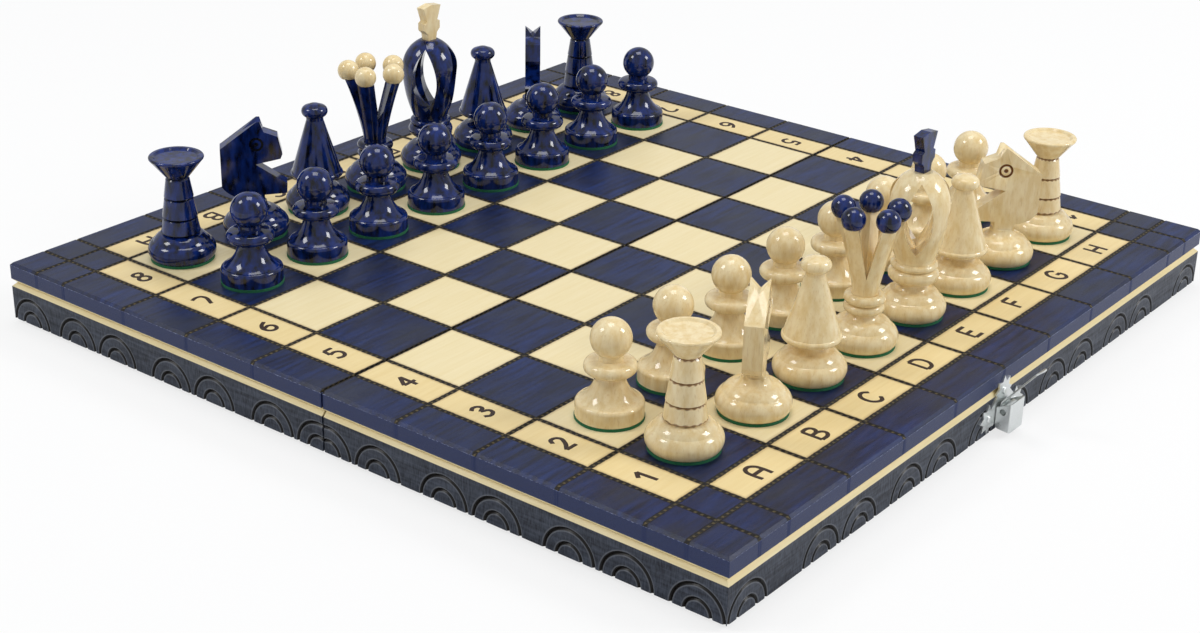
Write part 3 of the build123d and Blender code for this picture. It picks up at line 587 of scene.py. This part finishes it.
# ---------------------------------------------------------------- burned letters and numbers
# Strokes on a cell one glyph high, centred; two points make a straight stroke.
strokes = {
    "A": [
        [(-0.32, -0.5), (-0.34, 0.0), (-0.26, 0.36), (0.02, 0.5), (0.28, 0.34), (0.36, 0.0), (0.36, -0.5)],
        [(-0.34, -0.04), (0.36, -0.04)],
    ],
    "B": [
        [(-0.3, -0.5), (-0.3, 0.5)],
        [(-0.3, 0.5), (0.14, 0.46), (0.24, 0.26), (0.1, 0.06), (-0.3, 0.02)],
        [(-0.3, 0.02), (0.2, -0.04), (0.34, -0.25), (0.18, -0.46), (-0.3, -0.5)],
    ],
    "C": [
        [(0.34, 0.3), (0.08, 0.5), (-0.24, 0.36), (-0.36, 0), (-0.24, -0.36), (0.08, -0.5), (0.34, -0.3)],
    ],
    "D": [
        [(-0.3, -0.5), (-0.3, 0.5)],
        [(-0.3, 0.5), (0.14, 0.42), (0.34, 0), (0.14, -0.42), (-0.3, -0.5)],
    ],
    "E": [
        [(-0.28, -0.5), (-0.28, 0.5)],
        [(-0.28, 0.5), (0.3, 0.5)],
        [(-0.28, 0), (0.2, 0)],
        [(-0.28, -0.5), (0.3, -0.5)],
    ],
    "F": [
        [(-0.26, -0.5), (-0.26, 0.5)],
        [(-0.26, 0.5), (0.32, 0.5)],
        [(-0.26, 0.02), (0.2, 0.02)],
    ],
    "G": [
        [(0.34, 0.3), (0.08, 0.5), (-0.24, 0.36), (-0.36, 0), (-0.24, -0.36), (0.08, -0.5), (0.34, -0.32)],
        [(0.34, -0.32), (0.34, -0.02)],
        [(0.34, -0.02), (0.04, -0.02)],
    ],
    "H": [
        [(-0.32, -0.5), (-0.32, 0.5)],
        [(0.32, -0.5), (0.32, 0.5)],
        [(-0.32, 0), (0.32, 0)],
    ],
    "1": [
        [(-0.3, 0.16), (0.02, 0.5)],
        [(0.02, 0.5), (0.08, -0.5)],
    ],
    "2": [
        [(-0.28, 0.24), (-0.08, 0.5), (0.24, 0.34), (0.14, -0.02), (-0.3, -0.5)],
        [(-0.3, -0.5), (0.3, -0.5)],
    ],
    "3": [
        [(-0.26, 0.36), (0.02, 0.5), (0.26, 0.28), (-0.04, 0.04)],
        [(-0.04, 0.04), (0.3, -0.2), (0.02, -0.5), (-0.28, -0.36)],
    ],
    "4": [
        [(0.12, -0.5), (0.12, 0.5)],
        [(0.12, 0.5), (-0.32, -0.16)],
        [(-0.32, -0.16), (0.34, -0.16)],
    ],
    "5": [
        [(0.26, 0.5), (-0.2, 0.5)],
        [(-0.2, 0.5), (-0.24, 0.06)],
        [(-0.24, 0.06), (0.14, 0.1), (0.3, -0.18), (0.06, -0.48), (-0.28, -0.4)],
    ],
    "6": [
        [(0.22, 0.46), (-0.14, 0.22), (-0.3, -0.16), (-0.06, -0.49)]
        + [(0.26, -0.3), (0.14, 0.02), (-0.24, -0.06)],
    ],
    "7": [
        [(-0.3, 0.4), (0.06, 0.5), (0.3, 0.38), (0.1, -0.5)],
    ],
    "8": [
        [(0.24, 0.44), (-0.1, 0.48), (-0.22, 0.24), (0.24, -0.18), (0.12, -0.48)]
        + [(-0.22, -0.44), (-0.28, -0.16), (0.2, 0.2), (0.24, 0.44)],
    ],
}


def glyph_places(side):
    """Every burned character of one half: what, where, and whether it is turned about."""
    places = []
    for index, letter in enumerate("ABCDEFGH"):
        middle = ((index - board_middle) * square, side * strip_middle)
        places.append((letter, middle, side > 0))
    for index in range(4) if side < 0 else range(4, 8):
        for hand in (-1, 1):
            middle = (hand * strip_middle, (index - board_middle) * square)
            places.append((str(index + 1), middle, hand > 0))
    return places


def burned_marks(colour, side, finish):
    """All letters and numbers of one half, as flat burned strokes just proud of the wood."""
    bpy.ops.object.select_all(action="DESELECT")
    bpy.ops.curve.primitive_bezier_curve_add(location=(0, 0, 0))
    marks = bpy.context.object
    marks.name = f"{colour}_burned_marks"
    curve = marks.data
    curve.splines.clear()
    curve.dimensions = "3D"
    curve.resolution_u = 6
    curve.bevel_resolution = 2
    curve.bevel_depth = stroke_width / 2 * MM
    curve.use_fill_caps = True
    for character, (middle_x, middle_y), turned in glyph_places(side):
        facing = -1 if turned else 1
        for stroke in strokes[character]:
            spline = curve.splines.new("BEZIER")
            spline.bezier_points.add(len(stroke) - 1)
            for point, (across, up) in zip(spline.bezier_points, stroke):
                place_x = middle_x + facing * across * glyph_height
                place_y = middle_y + facing * up * glyph_height
                point.co = (place_x * MM, place_y * MM, 0)
                point.handle_left_type = point.handle_right_type = "AUTO"
    bpy.ops.object.convert(target="MESH")
    marks = bpy.context.object
    flatten = Matrix.Diagonal((1, 1, 2 * stroke_proud / stroke_width, 1))
    marks.data.transform(Matrix.Translation((0, 0, top * MM)) @ flatten)
    marks.data.materials.clear()
    marks.data.materials.append(finish)
    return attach(marks, f"{colour}_half")


# ---------------------------------------------------------------- stage, light and camera
table_size = 8.0
table_gap = 0.0001  # metres under the lowest point, so that nothing shimmers on it
table_glow = 0.75  # how much of the table is plain white to the camera; the rest takes the shadow
gloss_white = 0.35  # how much of the white room shows in lacquer and metal
room_light = 0.42

# Place, size and watts of each soft lamp, as windows round the table
lamps = {
    "window_left": ((-0.9, 0.75, 1.2), 0.45, 6.6),
    "window_right": ((0.75, -1.1, 1.0), 0.5, 10.6),
    "window_over": ((0.1, 0.1, 1.6), 0.7, 7.5),
}

camera_place = (-0.55586, -0.41909, 0.31269)
camera_turn = (65.2987, -1.1099, -51.7588)
camera_lens = 61.96


def white_table():
    """A white paper table that keeps the object's shadow."""
    bpy.ops.object.select_all(action="DESELECT")
    bpy.ops.mesh.primitive_plane_add(size=table_size, location=(0, 0, cad_low.z - table_gap))
    table = bpy.context.object
    table.name = "table"
    paper, _ = start("white_paper_table")
    seen = put(paper, "LightPath").node.outputs["Is Camera Ray"]
    glowing = put(paper, "Math", (seen, table_glow), operation="MULTIPLY")
    matt = put(paper, "BsdfDiffuse", {"Color": paint("#F4F4F4")})
    glow = put(paper, "Emission", {"Color": (1, 1, 1, 1), "Strength": 1.0})
    surface = put(paper, "MixShader", (glowing, matt, glow))
    put(paper, "OutputMaterial", {"Surface": surface})
    table.data.materials.append(paper)


def white_room():
    """White all round to the camera, partly so in reflections, and a soft cool light."""
    room = bpy.data.worlds.new("white_room")
    bpy.context.scene.world = room
    room.use_nodes = True
    room.node_tree.nodes.clear()
    path = put(room, "LightPath").node.outputs
    mirrored = put(room, "Math", (path["Is Glossy Ray"], gloss_white), operation="MULTIPLY")
    shown = put(room, "Math", (path["Is Camera Ray"], mirrored), operation="MAXIMUM")
    white = put(room, "Background", {"Color": (1, 1, 1, 1), "Strength": 1.0})
    soft = put(room, "Background", {"Color": (0.95, 0.97, 1, 1), "Strength": room_light})
    around = put(room, "MixShader", (shown, soft, white))
    put(room, "OutputWorld", {"Surface": around})


def window_lamps():
    """Three area lamps, each facing the middle of the board."""
    for name, (place, size, power) in lamps.items():
        bpy.ops.object.light_add(type="AREA", location=place)
        lamp = bpy.context.object
        lamp.name = name
        lamp.data.size = size
        lamp.data.energy = power
        lamp.rotation_euler = (-Vector(place)).to_track_quat("-Z", "Y").to_euler()


def camera():
    """The photograph's view, over the corner of the square a1."""
    rotation = [radians(angle) for angle in camera_turn]
    bpy.ops.object.camera_add(location=camera_place, rotation=rotation)
    view = bpy.context.object
    view.data.sensor_width = 36
    view.data.lens = camera_lens
    view.data.clip_start = 0.01
    bpy.context.scene.camera = view


dress_nodes()
turn_knights()
charred = charred_strokes()
for colour, side in (("white", -1), ("blue", 1)):
    burned_marks(colour, side, charred)
white_table()
white_room()
window_lamps()
camera()
bpy.context.scene.view_settings.view_transform = "Standard"
